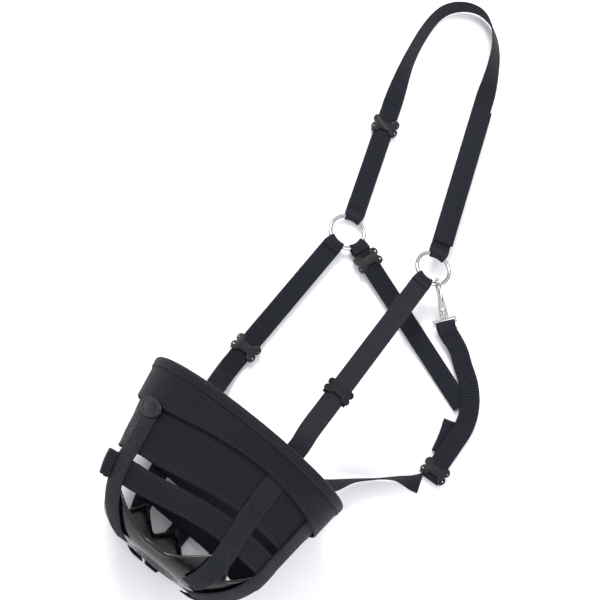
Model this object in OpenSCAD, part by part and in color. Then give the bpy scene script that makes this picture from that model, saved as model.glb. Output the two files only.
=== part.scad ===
// Horse grazing muzzle: a webbing basket with a rubber base, on a breakaway halter.
// It lies on its far side. +Y runs along the basket's axis from base to rim, +Z is up.

/* [Basket] */
// Half width of the basket's mouth
mouth_half_w = 130; // [118:1:145]
// Depth of the basket from rim to base
basket_depth = 184; // [165:1:210]
// Height of the section over its width
flatness = 0.64; // [0.55:0.01:0.72]
// Half width where the straight wall ends
waist_half_w = 115; // [105:1:117]
// Half width of the flat base
base_half_w = 47; // [40:1:56]
// Thickness of the rubber base
rubber_t = 3.4; // [2.5:0.1:4]
// Half width of the feed hole in the base
feed_hole_w = 17; // [10:1:22]
// Height of the collar at the mouth
collar_h = 46; // [36:1:52]
// Height of the lower band
lower_band_h = 28; // [20:1:32]

/* [Webbing] */
// Width of the halter and basket webbing
web_w = 25; // [20:0.5:28]
// Thickness of the webbing
web_t = 1.8; // [1.2:0.1:2.2]
// Thickness of the wide bands
band_t = 1.6; // [1:0.1:1.8]
// Thickness of the padded collar lining
lining_t = 3.2; // [2:0.1:3.4]

/* [Rings and slides] */
// Mean radius of the rings
ring_r = 22.2; // [20:0.1:26]
// Radius of the ring wire
ring_wire_r = 2.7; // [2:0.1:3]
// Clearance of a webbing loop round the ring wire
loop_gap = 0.4; // [0.3:0.05:0.6]
// Thickness of a slide's top plate
slide_t = 2.2; // [1.8:0.1:2.6]
// Clearance between a slide and the webbing
slide_gap = 0.4; // [0.3:0.05:0.6]

/* [Snap] */
// Radius of the snap's gate pin
gate_pin_r = 0.9; // [0.7:0.1:1.1]
// Radial clearance of the gate on its pin
gate_fit = 0.05; // [0.02:0.01:0.08]
// Radius of the swivel post
post_r = 1.6; // [1.2:0.1:1.9]
// Radial clearance of the swivel post in the snap body
post_fit = 0.06; // [0.02:0.01:0.09]

/* [Hidden] */
$fn = 64;

// Colours of the pieces
web_black = [0.09, 0.09, 0.12];
cloth_black = [0.07, 0.07, 0.10];
rubber_black = [0.05, 0.05, 0.06];
slide_black = [0.06, 0.06, 0.07];
nickel = [0.78, 0.78, 0.80];

// Layers of the basket wall, as offsets outwards from its middle surface
gap = 0.3;
strap_off = band_t + gap + 0.1;
collar_off = strap_off + web_t + gap + 0.1;
collar_t = 2.4;
binding_off = collar_off + collar_t + gap;
binding_t = 1.3;
tail_off = -gap - lining_t - gap - 1.3 - web_t;

// Place of the basket: it rests on its far wall, so its axis tips down towards the base
tip = 6;
rim_z = mouth_half_w * flatness + binding_off + binding_t - 0.4;
base_lean = 10;
straight_s = basket_depth * 0.575;

// Angles round the basket, from the nose-side edge over the top, of its six upright straps
strap_t = [32, 114, 157, 212, 267, 300];
// How far each strap has drifted round at the base
strap_drift = [0, 12, -6, 0, 4, -8];
// Where each strap is cut off, as an angle of the rounded base
strap_end = [82.8, 68, 82.8, 82.8, 82.8, 82.8];

// Centre of the object's footprint, in the frame that the points below are written in
foot = [35, 245];
table_z = 0.2;
module laid(tint) { color(tint) translate([-foot.x, -foot.y, table_z]) children(); }

// ---------- basket surface ----------

function arc_at(s) = asin(min(1, max(0, (s - straight_s) / (basket_depth - straight_s))));
function half_w(s) = s <= straight_s
    ? mouth_half_w - (mouth_half_w - waist_half_w) * s / straight_s
    : base_half_w + (waist_half_w - base_half_w) * cos(arc_at(s));
function unit(v) = v / norm(v);
// Outward normal of the wall's profile at depth s: [across, down]
function profile_n(s) = s <= straight_s
    ? unit([straight_s, mouth_half_w - waist_half_w])
    : unit([cos(arc_at(s)) / (waist_half_w - base_half_w), sin(arc_at(s)) / (basket_depth - straight_s)]);
// A point of the basket's own frame set down on the table
function on_table(p) = [p.x, p.y * cos(tip) - p.z * sin(tip), p.y * sin(tip) + p.z * cos(tip) + rim_z];
// A point of the wall at depth s, angle t and outward offset
function wall(s, t, off) = let (a = half_w(s), n = profile_n(s), k = off * n[0])
    on_table([base_lean * s / basket_depth - (a + k) * cos(t),
        -s - off * n[1], (a * flatness + k) * sin(t)]);
// A point of the flat base: half width a, angle t, offset down
function floor_pt(a, t, off) =
    on_table([base_lean - a * cos(t), -basket_depth - off, a * flatness * sin(t)]);
// Angle round the wall that one millimetre takes at depth s
function mm_angle(s, t) = 180 / PI / norm([half_w(s) * sin(t), half_w(s) * flatness * cos(t)]);

// Where the bands sit: on the near and far sides they are pulled up towards the rim
band_rise = 17;
function wrap_gap(a, b) = let (d = abs(a - b) % 360) min(d, 360 - d);
function swell(t, mid, half) = let (d = wrap_gap(t, mid)) d >= half ? 0 : 0.5 + 0.5 * cos(180 * d / half);
function level(t, mid, half, soft) = let (x = max(0, min(1, (half + soft - wrap_gap(t, mid)) / soft)))
    0.5 - 0.5 * cos(180 * x);
function risen(t) = max(level(t, 130, 12, 75), level(t, 280, 20, 60));
function band_depth(s, t) = s - band_rise * risen(t) * min(1, pow(max(s, 0) / straight_s, 2));
function collar_depth(s, t) = s + max(s, 0) / collar_h * (5 * swell(t, 32, 45) - 10 * swell(t, 108, 60));

// ---------- solids from grids ----------

// Quads between rows r and r + 1 of a grid, with cols points a row
function quads(rows, cols, start, flip, wrap) = [for (r = [0:rows - 2])
    for (c = [0:(wrap ? cols - 1 : cols - 2)])
    let (a = start + r * cols + c, b = start + r * cols + (c + 1) % cols,
        d = start + (r + 1) * cols + c, e = start + (r + 1) * cols + (c + 1) % cols)
    each flip ? [[a, d, b], [b, d, e]] : [[a, b, d], [b, e, d]]];
function flat_list(g) = [for (row = g) each row];

// A closed slab between two grids of the same size
module slab(top, under) {
    rows = len(top);
    cols = len(top[0]);
    n = rows * cols;
    edge = concat([for (c = [0:cols - 1]) c], [for (r = [1:rows - 1]) r * cols + cols - 1],
        [for (c = [cols - 2:-1:0]) (rows - 1) * cols + c], [for (r = [rows - 2:-1:1]) r * cols]);
    sides = [for (i = [0:len(edge) - 1]) let (a = edge[i], b = edge[(i + 1) % len(edge)])
        each [[a, n + a, b], [b, n + a, n + b]]];
    polyhedron(concat(flat_list(top), flat_list(under)),
        concat(quads(rows, cols, 0, false, false), quads(rows, cols, n, true, false), sides));
}

// A closed tube: rows are stations, each a loop of points, with flat ends
module loft(rings) {
    cols = len(rings[0]);
    rows = len(rings);
    first = [[for (c = [0:cols - 1]) c]];
    last = [[for (c = [cols - 1:-1:0]) (rows - 1) * cols + c]];
    polyhedron(flat_list(rings), concat(quads(rows, cols, 0, true, true), first, last));
}

// A hoop round the basket with the section given as [offset, depth] points
module hoop(section, steps = 96, depth = function (s, t) s) {
    cols = len(section);
    pts = [for (i = [0:steps - 1]) let (t = i * 360 / steps)
        [for (p = section) wall(depth(p[1], t), t, p[0])]];
    faces = [for (r = [0:steps - 1]) for (c = [0:cols - 1])
        let (a = r * cols + c, b = r * cols + (c + 1) % cols,
            d = ((r + 1) % steps) * cols + c, e = ((r + 1) % steps) * cols + (c + 1) % cols)
        each [[a, d, b], [b, d, e]]];
    polyhedron(flat_list(pts), faces);
}

// Section of a band between two depths and two offsets, with extra points down its faces
function band_section(s0, s1, o0, o1, n = 1) = concat(
    [for (i = [0:n]) [o1, s0 + (s1 - s0) * i / n]],
    [for (i = [n:-1:0]) [o0, s0 + (s1 - s0) * i / n]]);

// An upright strap that lies on the wall and turns in under the base
function strap_angle(k, s) = strap_t[k] + strap_drift[k] * pow(max(s, 0) / basket_depth, 3);
function strap_row(k, s, off) = [for (j = [-2:2]) let (t = strap_angle(k, s))
    wall(s, t + j * web_w / 4 * mm_angle(min(s, basket_depth * 0.93), t), off)];
module upright_strap(k) {
    depths = concat([for (i = [0:5]) 3 + (straight_s - 3) * i / 5],
        [for (i = [1:9]) straight_s + (basket_depth - straight_s) * sin(i * strap_end[k] / 9)]);
    slab([for (s = depths) strap_row(k, s, strap_off + web_t)],
        [for (s = depths) strap_row(k, s, strap_off)]);
}

// ---------- free webbing ----------

// Halter webbing is seen edge-on where it leans this way
lean_dir = [0, -0.3, 0.954];
function catmull(p0, p1, p2, p3, u) = 0.5 * (2 * p1 + (p2 - p0) * u
    + (2 * p0 - 5 * p1 + 4 * p2 - p3) * u * u + (3 * p1 - p0 - 3 * p2 + p3) * u * u * u);
// Stations [x, y, z, lean] joined by a smooth curve with n steps a span
function smooth(st, n) = let (m = len(st))
    concat([for (i = [0:m - 2]) for (j = [0:n - 1]) catmull(i == 0 ? 2 * st[0] - st[1] : st[i - 1], st[i],
        st[i + 1], i == m - 2 ? 2 * st[m - 1] - st[m - 2] : st[i + 2], j / n)], [st[m - 1]]);
function place(q) = [q[0], q[1], q[2]];
function heading(path, i) = unit(place(path[min(i + 1, len(path) - 1)]) - place(path[max(i - 1, 0)]));
// Width direction of webbing at a station: flat on the table at lean 0, on edge at lean 90
function width_dir(h, lean) = let (left = unit([-h.y, h.x, 0]), w = cos(lean) * left + sin(lean) * lean_dir)
    unit(w - (w * h) * h);
// Webbing along stations: wide across, thick through, raised along its own normal
module webbing(st, n = 4, wide = web_w, thick = web_t, raise = 0) {
    path = smooth(st, n);
    loft([for (i = [0:len(path) - 1]) let (h = heading(path, i), w = width_dir(h, path[i][3]),
            up = cross(h, w), c = place(path[i]) + raise * up)
        [c - wide / 2 * w - thick / 2 * up, c + wide / 2 * w - thick / 2 * up,
            c + wide / 2 * w + thick / 2 * up, c - wide / 2 * w + thick / 2 * up]]);
}

// Rings: centre, and tilt about X
near_ring_c = [52, 336, 29];
near_ring_tilt = -15;
far_ring_c = [-60, 309, 9.5];
far_ring_tilt = -6;
sleeve_in = ring_wire_r + loop_gap;
sleeve_out = sleeve_in + web_t;
sleeve_span = web_w / ring_r * 180 / PI * 0.86;
function on_ring(c, tilt, r, phi, h = 0) = c + [r * cos(phi), r * sin(phi) * cos(tilt) - h * sin(tilt),
    r * sin(phi) * sin(tilt) + h * cos(tilt)];
// Where webbing starts, just outside its loop on a ring
function at_ring(c, tilt, phi) = on_ring(c, tilt, ring_r + sleeve_out + 0.4, phi);
module ring(c, tilt) {
    translate(c) rotate([tilt, 0, 0]) rotate_extrude() translate([ring_r, 0]) circle(ring_wire_r);
}
// The turned end of a strap, sewn round the ring wire
module sleeve(c, tilt, phi) {
    translate(c) rotate([tilt, 0, 0]) rotate([0, 0, phi - sleeve_span / 2])
        rotate_extrude(angle = sleeve_span)
        translate([ring_r, 0]) difference() {
            circle(sleeve_out);
            circle(sleeve_in);
        }
}

// Angles on the rings of the loops and the snap
near_cheek_phi = -93;
far_cheek_phi = -98;
far_crown_phi = 104;
near_crown_phi = 104;
throat_phi = -16;
snap_phi = -42;

// Tails of the cheek and chin straps, inside the collar
tail_s = collar_h - 8;
function tail(k, s, lean) = let (p = wall(s, strap_t[k], tail_off + web_t / 2)) [p.x, p.y, p.z, lean];
// A station part of the way along the straight from a to b
function between(a, b, u) = a + (b - a) * u;
function station(p, lean) = [p.x, p.y, p.z, lean];

// Cheek straps run straight from the rim to their rings
near_cheek_end = at_ring(near_ring_c, near_ring_tilt, near_cheek_phi);
near_cheek_start = place(tail(1, -26, 0)) + [-2, 6, -6];
far_cheek_end = at_ring(far_ring_c, far_ring_tilt, far_cheek_phi);
far_cheek_start = [far_cheek_end.x - 3, 70, 6];

// Crown strap: up from the far ring, over on its edge, and straight down to the near ring
far_crown_end = at_ring(far_ring_c, far_ring_tilt, far_crown_phi);
near_crown_end = at_ring(near_ring_c, near_ring_tilt, near_crown_phi);
crown_slide_c = [-108.5, 459, 5.5];
crown_dir = unit(crown_slide_c - far_crown_end);
crown_straight_end = crown_slide_c + 30 * crown_dir;
crown_top = [[-139, 552, 9.5, 48], [-148, 604, 11.5, 58], [-146, 640, 13, 64],
    [-130, 664, 14, 72], [-106, 675, 14.5, 84], [-81, 667, 14.5, 104], [-60, 645, 13, 126],
    [-43, 613, 9, 150]];
closure_top = [-29, 578, 4.2];

// Throat strap: straight from the far ring, under the near cheek strap, to the chin link
throat_start = at_ring(far_ring_c, far_ring_tilt, throat_phi);
throat_end = [187, 227, 3.4];

// Snap: its hook centre on the near ring, and its eye
snap_c = on_ring(near_ring_c, near_ring_tilt, ring_r, snap_phi);
eye_c = [103.5, 297, 17];
snap_len = norm(eye_c - snap_c);
snap_dir = unit(eye_c - snap_c);
snap_yaw = atan2(snap_dir.y, snap_dir.x);
snap_dip = -asin(snap_dir.z);
module snap_frame() {
    translate(snap_c) rotate([0, snap_dip, snap_yaw]) children();
}
// A point of the snap's frame
function in_snap(p) = let (q = [p.x * cos(snap_dip) + p.z * sin(snap_dip), p.y,
        -p.x * sin(snap_dip) + p.z * cos(snap_dip)])
    snap_c + [q.x * cos(snap_yaw) - q.y * sin(snap_yaw), q.x * sin(snap_yaw) + q.y * cos(snap_yaw), q.z];

// ---------- basket ----------

// Depth angle of the base's upper edge: high under each strap, low between them
arm_half = 34;
arc_low = 60;
arc_high = 28;
function arm(t) = max([for (k = [0:5]) let (x = min(1, wrap_gap(t, strap_t[k] + strap_drift[k] * 0.6)
    / (arm_half * (1 + 0.35 * abs(cos(t)))))) pow(1 - x, 1.6)]);
function lip_arc(t) = arc_low - (arc_low - arc_high + 13 * risen(t)) * arm(t);
function depth_at(arc) = straight_s + (basket_depth - straight_s) * sin(arc);
function base_row(t, off) = concat(
    [for (i = [0:6]) wall(depth_at(lip_arc(t) + (90 - lip_arc(t)) * i / 6), t, off)],
    [floor_pt((base_half_w + feed_hole_w) / 2, t, off), floor_pt(feed_hole_w, t, off)]);

module rubber_base() {
    steps = 120;
    cols = 9;
    outer = [for (i = [0:steps - 1]) base_row(i * 360 / steps, -gap)];
    inner = [for (i = [0:steps - 1]) base_row(i * 360 / steps, -gap - rubber_t)];
    rows = [for (i = [0:steps - 1]) concat(outer[i], [for (c = [cols - 1:-1:0]) inner[i][c]])];
    n = 2 * cols;
    faces = [for (r = [0:steps - 1]) for (c = [0:n - 1])
        let (a = r * n + c, b = r * n + (c + 1) % n, d = ((r + 1) % steps) * n + c,
            e = ((r + 1) % steps) * n + (c + 1) % n)
        each [[a, d, b], [b, d, e]]];
    laid(rubber_black) polyhedron(flat_list(rows), faces);
}

band_top = collar_h + 62;
lower_top = band_top + 7;
module upper_band() {
    laid(cloth_black) hoop(band_section(3, min(band_top, straight_s), 0, band_t),
        depth = function (s, t) band_depth(s, t));
}
module lower_band() {
    laid(cloth_black) hoop(band_section(lower_top, lower_top + lower_band_h, 0, band_t, 4),
        depth = function (s, t) band_depth(s, t));
}
module front_strap() { laid(web_black) upright_strap(0); }
module near_side_strap() { laid(web_black) upright_strap(1); }
module near_rear_strap() { laid(web_black) upright_strap(2); }
module rear_strap() { laid(web_black) upright_strap(3); }
module far_rear_strap() { laid(web_black) upright_strap(4); }
module far_side_strap() { laid(web_black) upright_strap(5); }
module collar() {
    laid(cloth_black) hoop(band_section(2, collar_h, collar_off, collar_off + collar_t),
        depth = function (s, t) collar_depth(s, t));
}
module collar_lining() {
    laid(cloth_black) hoop(band_section(3, collar_h, -gap - lining_t, -gap));
}
module rim_binding() {
    inner = -gap - lining_t - 0.1;
    outer = binding_off + binding_t;
    laid(web_black) hoop([[outer, -2.6], [outer, 10], [binding_off, 10], [binding_off, -1.2],
        [inner + 1.2, -1.2], [inner + 1.2, 1.6], [inner, 1.6], [inner, -2.6]]);
}

// A plain oval patch over the front strap and the collar's lower edge
patch_w = 33;
patch_h = 22;
module front_patch() {
    steps = 28;
    s0 = collar_h + 9;
    t0 = strap_t[0];
    k = mm_angle(s0, t0);
    // It lies on the collar above its lower edge, and slopes down to the strap
    seat = function (s)
        max(strap_off + web_t + 0.4, collar_off + collar_t + 0.5 - 0.2 * max(0, s - s0 + 3.5));
    rim_at = function (o) [for (i = [0:steps - 1]) let (a = i * 360 / steps, s = s0 + patch_h / 2 * sin(a))
        wall(s, t0 + patch_w / 2 * cos(a) * k, seat(s) + o)];
    fan = function (c, start, flip) [for (i = [0:steps - 1]) let (a = start + i, b = start + (i + 1) % steps)
        flip ? [c, b, a] : [c, a, b]];
    pts = concat(rim_at(1.2), rim_at(0), [wall(s0, t0, seat(s0) + 1.7)], [wall(s0, t0, seat(s0) + 0.3)]);
    sides = [for (i = [0:steps - 1]) let (a = i, b = (i + 1) % steps)
        each [[a, a + steps, b], [b, a + steps, b + steps]]];
    laid(slide_black) polyhedron(pts,
        concat(fan(2 * steps, 0, false), fan(2 * steps + 1, steps, true), sides));
}

// The lower band's sewn end, which stands out past the front strap
module band_end_tab() {
    rows = [for (i = [0:6]) lower_top + 1 + (lower_band_h - 2) * i / 6];
    grid = function (o) [for (s = rows) [for (j = [0:5]) let (t = strap_t[0] - 5 - j * 3.2)
        wall(s, t, o + 5 * sin(j * 36))]];
    laid(cloth_black) slab(grid(strap_off + web_t + gap + band_t), grid(strap_off + web_t + gap));
}

// ---------- halter ----------

module near_cheek_strap() {
    laid(web_black) webbing(concat([tail(1, tail_s, 14), tail(1, 8, 14), tail(1, -12, 12)],
        [for (u = [0:0.125:1]) station(between(near_cheek_start, near_cheek_end, u), u < 0.1 ? 6 : 0)]), 2);
}
module far_cheek_strap() {
    laid(web_black) webbing(concat([tail(5, tail_s, 22), tail(5, 8, 22), tail(5, -14, 18)],
        [for (u = [0:0.125:1]) station(between(far_cheek_start, far_cheek_end, u), 0)]), 2);
}
module near_cheek_loop() { laid(web_black) sleeve(near_ring_c, near_ring_tilt, near_cheek_phi); }
module far_cheek_loop() { laid(web_black) sleeve(far_ring_c, far_ring_tilt, far_cheek_phi); }
module far_crown_loop() { laid(web_black) sleeve(far_ring_c, far_ring_tilt, far_crown_phi); }
module near_crown_loop() { laid(web_black) sleeve(near_ring_c, near_ring_tilt, near_crown_phi); }
module throat_loop() { laid(web_black) sleeve(far_ring_c, far_ring_tilt, throat_phi); }

module crown_strap() {
    up = [for (u = [0, 0.25, 0.5, 0.75, 1, 1.04])
        station(between(far_crown_end, crown_straight_end, u), 0)];
    down = [for (u = concat([-0.04], [for (i = [0:8]) i / 8]))
        station(between(closure_top, near_crown_end, u), 180)];
    laid(web_black) webbing(concat(up, crown_top, down), 3);
}

// Hook-and-loop closure: pads between the crown strap and its turned-back end
pad_t = 0.9;
closure_dir = unit(near_crown_end - closure_top);
closure_up = -cross(closure_dir, width_dir(closure_dir, 180));
// The flap is closed a little to one side of the strap under it
flap_shift = 1.5 * unit([-closure_dir.y, closure_dir.x, 0]);
function closure_line(from, to, shift = [0, 0, 0]) = [station(closure_top + shift + from * closure_dir, 180),
    station(closure_top + shift + to * closure_dir, 180)];
closure_len = norm(near_crown_end - closure_top);
flap_from = 14;
flap_to = closure_len - 12;
pad_raise = web_t / 2 + pad_t / 2 + 0.05;
hook_raise = pad_raise + pad_t + 0.3;
flap_raise = hook_raise + pad_t / 2 + 0.05 + web_t / 2;
module loop_pad() {
    laid(cloth_black) webbing(closure_line(flap_from + 4, flap_to - 30), 4, web_w - 3, pad_t, -pad_raise);
}
module hook_pad() {
    laid(cloth_black)
        webbing(closure_line(flap_from + 4, flap_to - 34, flap_shift), 4, web_w - 3, pad_t, -hook_raise);
}
module closure_flap() {
    laid(web_black) webbing(closure_line(flap_from, flap_to, flap_shift), 6, web_w, web_t, -flap_raise);
    hinge = closure_top + flap_shift + (flap_to - web_t / 2) * closure_dir + flap_raise * closure_up;
    laid(web_black) translate(hinge) rotate([0, 90, atan2(closure_dir.y, closure_dir.x) + 90])
        cylinder(h = web_w, r = web_t / 2, center = true);
}

module throat_strap() {
    laid(web_black) webbing([for (u = [0:0.1:1]) station(between(throat_start, throat_end, u), 0)], 1);
}
// The snap strap crosses over the throat strap
snap_strap_z = throat_end.z + web_t + gap + 0.6;
module snap_strap() {
    z0 = snap_strap_z;
    laid(web_black) webbing([station(in_snap([snap_len + 11.6, 0, -0.2]), 0), [140, 280, 11, 0],
        [157, 269, z0 + 1, 0], [177, 255, z0, 0], [194, 234, z0, 0], [204, 208, z0, 0],
        [206, 180, z0, 0], [207, 152, z0, 0], [208.5, 124, z0, 0]], 4);
}
module snap_strap_loop() {
    laid(web_black) snap_frame() translate([snap_len - 1 + eye_gap, 0, 0]) rotate([90, 0, 0]) difference() {
        cylinder(h = web_w - 1, r = 1.5 + gap + web_t, center = true);
        cylinder(h = web_w + 1, r = 1.5 + gap, center = true);
    }
}
module chin_link_strap() {
    z0 = throat_end.z - 0.4;
    laid(web_black)
        webbing([[190, 204, z0, 0], [196, 186, z0, 0], [199.4, 171, z0, 0], [201.6, 160, z0, 0]], 4);
}
module chin_strap() {
    laid(web_black) webbing([tail(3, tail_s, -45), tail(3, 8, -45), tail(3, -10, -50), [118, 36, 32, -66],
        [132, 56, 20, -84], [154, 78, 14.8, -92], [174, 96, 14.2, -102], [190, 106, 11, -125],
        [202, 113, 6.2, -158]], 4);
}

// ---------- rings and slides ----------

module near_ring() { laid(nickel) ring(near_ring_c, near_ring_tilt); }
module far_ring() { laid(nickel) ring(far_ring_c, far_ring_tilt); }

// A slide: a plate over the webbing, two bars under it, and posts beside it
lobe_r = 5.6;
lobe_y = 5.8;
hole_r = 1.3;
bar_w = 2.4;
bar_t = 1.6;
post_w = 3.8;
post_x = web_w / 2 + slide_gap + 1.6;
bar_y = lobe_y + 2.2;
module slide() {
    top0 = web_t / 2 + slide_gap;
    difference() {
        union() {
            translate([-post_x, -lobe_y, top0]) cube([2 * post_x, 2 * lobe_y, slide_t]);
            for (x = [-1, 1]) for (y = [-1, 1]) translate([x * (post_x - bar_w), y * lobe_y, top0])
                cylinder(h = slide_t, r = lobe_r);
        }
        for (x = [-1, 1]) for (y = [-1, 1]) translate([x * (post_x + 0.4), y * lobe_y, top0 - 1])
            cylinder(h = slide_t + 2, r = hole_r);
    }
    for (y = [-1, 1]) {
        inner_y = y > 0 ? bar_y : -bar_y - bar_w;
        translate([-post_x - bar_w / 2, inner_y, -top0 - bar_t]) cube([2 * post_x + bar_w, bar_w, bar_t]);
        for (x = [-1, 1])
            translate([x * post_x - bar_w / 2, y > 0 ? inner_y - post_w + bar_w : inner_y, -top0 - bar_t])
                cube([bar_w, post_w, 2 * top0 + bar_t + slide_t]);
    }
}
// A slide set on webbing at c that runs along d
module slide_on(c, d) {
    laid(slide_black) translate(c) rotate([0, -asin(d.z), atan2(d.y, d.x)]) rotate([0, 0, -90]) slide();
}
near_cheek_dir = unit(near_cheek_end - near_cheek_start);
far_cheek_dir = unit(far_cheek_end - far_cheek_start);
throat_dir = unit(throat_end - throat_start);
near_slide_c = near_cheek_start + 74 * near_cheek_dir;
far_slide_c = far_cheek_start + 36 * far_cheek_dir;
throat_slide_c = throat_start + 17 * throat_dir;
module near_cheek_slide() { slide_on(near_slide_c, near_cheek_dir); }
module far_cheek_slide() { slide_on(far_slide_c, far_cheek_dir); }
module crown_slide() { slide_on(crown_slide_c, crown_dir); }
module throat_slide() { slide_on(throat_slide_c, throat_dir); }
chin_slide_c = [207.8, 137, snap_strap_z];
chin_slide_dir = unit([1.5, -28, 0]);
module chin_slide() { slide_on(chin_slide_c, chin_slide_dir); }

// ---------- snap ----------

// Gap of the eye, radius of the hook and of its wire
eye_gap = 5.8;
hook_r = 6.6;
hook_wire = 1.8;
// Place of the gate's pin, and how far the gate reaches from it
pin_x = 17;
pin_z = 3.4;
gate_len = pin_x + 2;
gate_lie = 12;
eye_bar = 2.4;
// The rectangular eye that holds the snap strap, with a boss for the post
module snap_eye() {
    inside = web_w + 2;
    laid(nickel) snap_frame() translate([snap_len - 1, 0, 0]) difference() {
        union() {
            translate([eye_gap / 2, 0, 0])
                cube([eye_gap + eye_bar, inside + 2 * eye_bar, eye_bar], center = true);
            translate([-1.6, 0, 0]) rotate([0, 90, 0]) cylinder(h = 2.6, r = 2.6);
        }
        translate([eye_gap / 2, 0, 0]) cube([eye_gap - eye_bar, inside, eye_bar + 1], center = true);
        translate([-3, 0, 0]) rotate([0, 90, 0]) cylinder(h = 6, r = post_r);
    }
}
// The headed post that the snap turns on
module swivel_post() {
    laid(nickel) snap_frame() {
        translate([snap_len - 10.5, 0, 0]) rotate([0, 90, 0]) cylinder(h = 10.2, r = post_r);
        translate([snap_len - 12.3, 0, 0]) rotate([0, 90, 0]) cylinder(h = 1.8, r = post_r + 0.9);
    }
}
module snap_body() {
    end_x = snap_len - 3.2;
    laid(nickel) snap_frame() difference() {
        union() {
            rotate([90, 0, 0]) rotate([0, 0, 140]) rotate_extrude(angle = 208)
                translate([hook_r, 0]) circle(hook_wire);
            rotate([90, 0, 0]) translate([0, 0, -2.4]) linear_extrude(4.8)
                polygon([[5.2, -4.4], [pin_x, -4.4], [pin_x + 4, 4.6], [pin_x, 5], [pin_x - 3, 4.4],
                    [7.8, -1]]);
            linear_extrude(5.4, center = true)
                polygon([[pin_x - 2, -3], [end_x, -5.6], [end_x, 5.6], [pin_x - 2, 3]]);
        }
        translate([end_x - 12.4, -3.2, -5]) cube([8.6, 6.4, 10]);
        translate([end_x - 5, 0, 0]) rotate([0, 90, 0]) cylinder(h = 8, r = post_r + post_fit);
        translate([5, -1.4, 1.2]) cube([pin_x + 0.6, 2.8, 12]);
        translate([pin_x, 0, pin_z]) rotate([90, 0, 0]) cylinder(h = 12, r = gate_pin_r, center = true);
    }
}
module gate_pin() {
    laid(nickel) snap_frame() translate([pin_x, 0, pin_z]) rotate([90, 0, 0])
        cylinder(h = 4.8, r = gate_pin_r, center = true);
}
module snap_gate() {
    laid(nickel) snap_frame() translate([pin_x, 0, pin_z]) difference() {
        union() {
            rotate([90, 0, 0]) cylinder(h = 2, r = 1.9, center = true);
            rotate([0, gate_lie, 0]) translate([-gate_len, -1, -0.9]) cube([gate_len, 2, 1.8]);
            rotate([0, gate_lie, 0]) translate([-gate_len, 0, 0.4]) sphere(2.1);
        }
        rotate([90, 0, 0]) cylinder(h = 4, r = gate_pin_r + gate_fit, center = true);
    }
}
// The flat spring under the gate
module gate_spring() {
    laid(nickel) snap_frame() translate([8.6, -0.8, 1.5]) rotate([0, -6, 0]) cube([6, 1.6, 0.4]);
}

rubber_base();
upper_band();
lower_band();
front_strap();
near_side_strap();
near_rear_strap();
rear_strap();
far_rear_strap();
far_side_strap();
collar();
collar_lining();
rim_binding();
front_patch();
band_end_tab();
near_cheek_strap();
far_cheek_strap();
near_cheek_loop();
far_cheek_loop();
crown_strap();
far_crown_loop();
near_crown_loop();
loop_pad();
closure_flap();
hook_pad();
throat_strap();
throat_loop();
snap_strap();
snap_strap_loop();
chin_link_strap();
chin_strap();
near_ring();
far_ring();
near_cheek_slide();
far_cheek_slide();
crown_slide();
throat_slide();
chin_slide();
snap_eye();
swivel_post();
snap_body();
snap_gate();
gate_pin();
gate_spring();
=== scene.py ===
import math

import bpy
import numpy as np
from mathutils import Matrix, Vector


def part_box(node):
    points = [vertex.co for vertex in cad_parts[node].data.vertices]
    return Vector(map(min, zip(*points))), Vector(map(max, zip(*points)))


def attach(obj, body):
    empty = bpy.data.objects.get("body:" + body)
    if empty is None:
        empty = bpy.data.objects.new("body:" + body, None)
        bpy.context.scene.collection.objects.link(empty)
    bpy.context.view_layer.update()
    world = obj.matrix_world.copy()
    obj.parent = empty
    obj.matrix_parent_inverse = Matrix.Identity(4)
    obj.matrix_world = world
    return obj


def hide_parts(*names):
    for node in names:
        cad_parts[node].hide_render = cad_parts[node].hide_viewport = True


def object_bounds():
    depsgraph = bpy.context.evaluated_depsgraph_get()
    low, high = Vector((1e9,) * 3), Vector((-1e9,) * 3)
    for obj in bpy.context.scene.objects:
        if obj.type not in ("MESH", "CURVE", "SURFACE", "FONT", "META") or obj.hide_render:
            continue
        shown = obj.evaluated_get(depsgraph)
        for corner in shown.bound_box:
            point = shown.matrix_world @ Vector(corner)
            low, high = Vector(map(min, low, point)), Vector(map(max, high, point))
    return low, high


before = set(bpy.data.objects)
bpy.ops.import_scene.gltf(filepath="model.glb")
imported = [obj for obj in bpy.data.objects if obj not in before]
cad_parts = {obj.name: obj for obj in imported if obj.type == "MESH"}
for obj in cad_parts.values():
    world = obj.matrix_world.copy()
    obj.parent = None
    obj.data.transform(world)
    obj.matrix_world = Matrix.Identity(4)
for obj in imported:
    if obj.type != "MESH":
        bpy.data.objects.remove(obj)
cad_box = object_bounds()

# Every size below is in millimetres until it is set down on the table
MM = 0.001

# ---------- the basket's own shape ----------

MOUTH, WAIST, BASE = 130.0, 115.0, 47.0
DEPTH, FLATNESS = 184.0, 0.64
STRAIGHT = 0.575 * DEPTH
BAND_T, WEB_T, WEB_W, GAP = 1.6, 1.8, 25.0, 0.3
STRAP_OFF = 2.0
COLLAR_OFF, COLLAR_T, COLLAR_H = 4.2, 2.4, 46.0
BINDING_OFF, BINDING_T = 6.9, 1.3
LINING_T, RUBBER_T, HOLE_W = 3.2, 3.4, 17.0
TIP = math.radians(6)
RIM_Z = MOUTH * FLATNESS + BINDING_OFF + BINDING_T - 0.4
LEAN = 10.0
STRAP_T = (32, 114, 157, 212, 267, 300)
STRAP_DRIFT = (0, 12, -6, 0, 4, -8)
STRAP_END = (82.8, 68, 82.8, 82.8, 82.8, 82.8)
STRAP_NAMES = ("front_strap", "near_side_strap", "near_rear_strap", "rear_strap", "far_rear_strap",
               "far_side_strap")
LOWER_TOP, LOWER_H = 115.0, 28.0
TAIL_OFF = -GAP - LINING_T - GAP - 1.3 - WEB_T


def ratio(s):
    return np.clip((s - STRAIGHT) / (DEPTH - STRAIGHT), 0, 1)


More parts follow.
